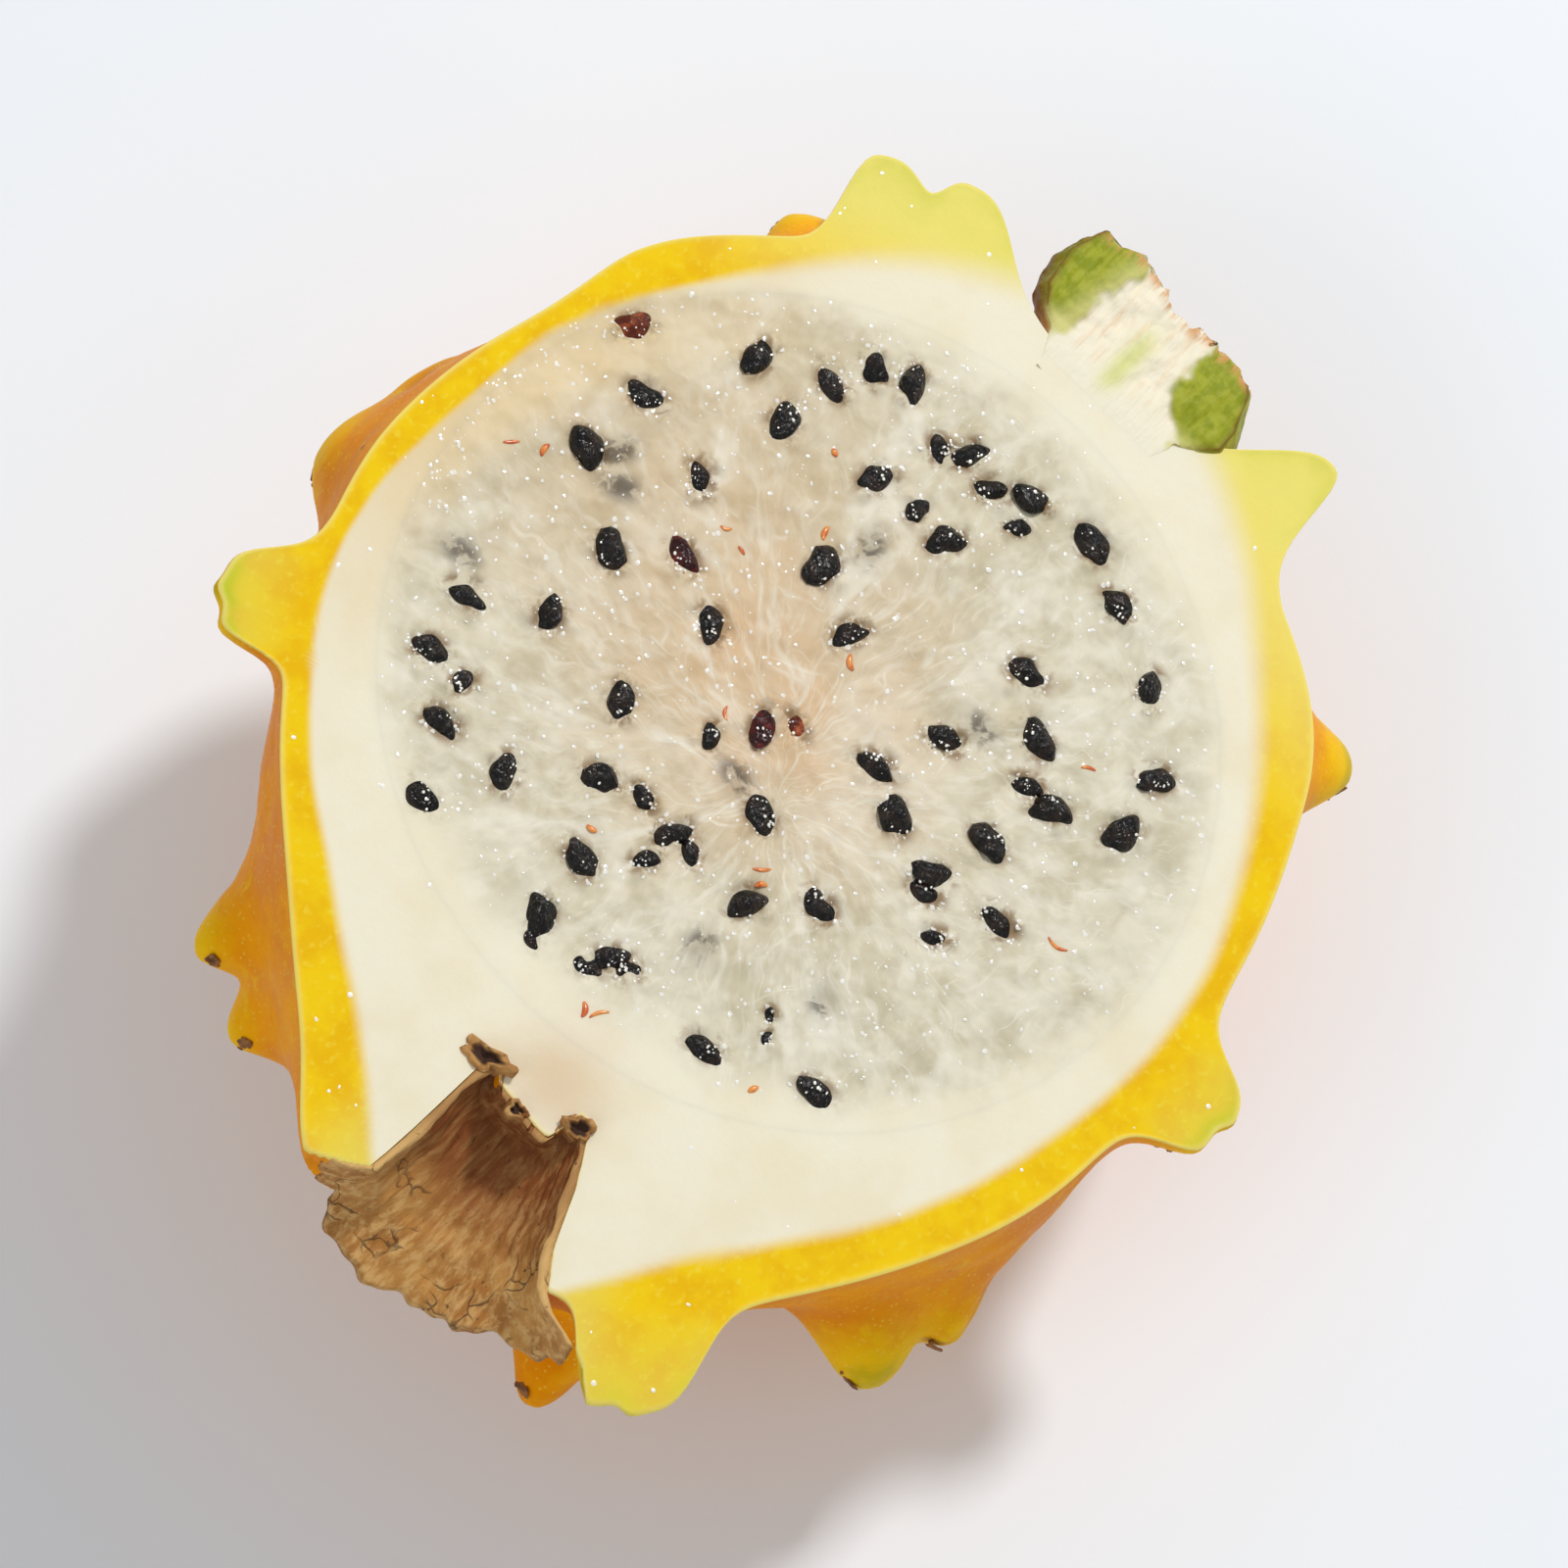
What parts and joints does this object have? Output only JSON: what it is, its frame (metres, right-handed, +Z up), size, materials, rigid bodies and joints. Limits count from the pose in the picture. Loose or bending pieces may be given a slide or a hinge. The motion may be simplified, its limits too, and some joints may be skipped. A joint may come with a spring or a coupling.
{
  "type": "dragon fruit half",
  "caption": "Half of a yellow dragon fruit, cut along its length: nubbed yellow peel, pale seeded flesh, dried flower base and stem stub. It lies on its back, cut face up.",
  "frame": {"origin": "centre of the bounding box, on the surface that the half lies on", "axes": "+X level along the fruit, from the dried flower base towards the stem; +Y level across the fruit; +Z up, out of the cut face, which tilts 15 degrees"},
  "size_m": [0.1012, 0.0894, 0.0506],
  "materials": {
    "peel": "waxy, satin",
    "flesh": "wet, slightly translucent",
    "dried_flower_base": "dry and papery",
    "stem_stub": "fibrous, corky at its edges",
    "seed": "hard and glossy"
  },
  "bodies": {
    "root": {"peel": "peel", "flesh": "flesh", "dried_flower_base": "dried_flower_base", "stem_stub": "stem_stub", "seed_01": "seed", "seed_02": "seed", "seed_03": "seed", "seed_04": "seed", "seed_05": "seed", "seed_06": "seed", "seed_07": "seed", "seed_08": "seed", "seed_09": "seed", "seed_10": "seed", "seed_11": "seed", "seed_12": "seed", "seed_13": "seed", "seed_14": "seed", "seed_15": "seed", "seed_16": "seed", "seed_17": "seed", "seed_18": "seed", "seed_19": "seed", "seed_20": "seed", "seed_21": "seed", "seed_22": "seed", "seed_23": "seed", "seed_24": "seed", "seed_25": "seed", "seed_26": "seed", "seed_27": "seed", "seed_28": "seed", "seed_29": "seed", "seed_30": "seed", "seed_31": "seed", "seed_32": "seed", "seed_33": "seed", "seed_34": "seed", "seed_35": "seed", "seed_36": "seed", "seed_37": "seed", "seed_38": "seed", "seed_39": "seed", "seed_40": "seed", "seed_41": "seed", "seed_42": "seed", "seed_43": "seed", "seed_44": "seed", "seed_45": "seed", "seed_46": "seed", "seed_47": "seed", "seed_48": "seed"}
  },
  "joints": []
}
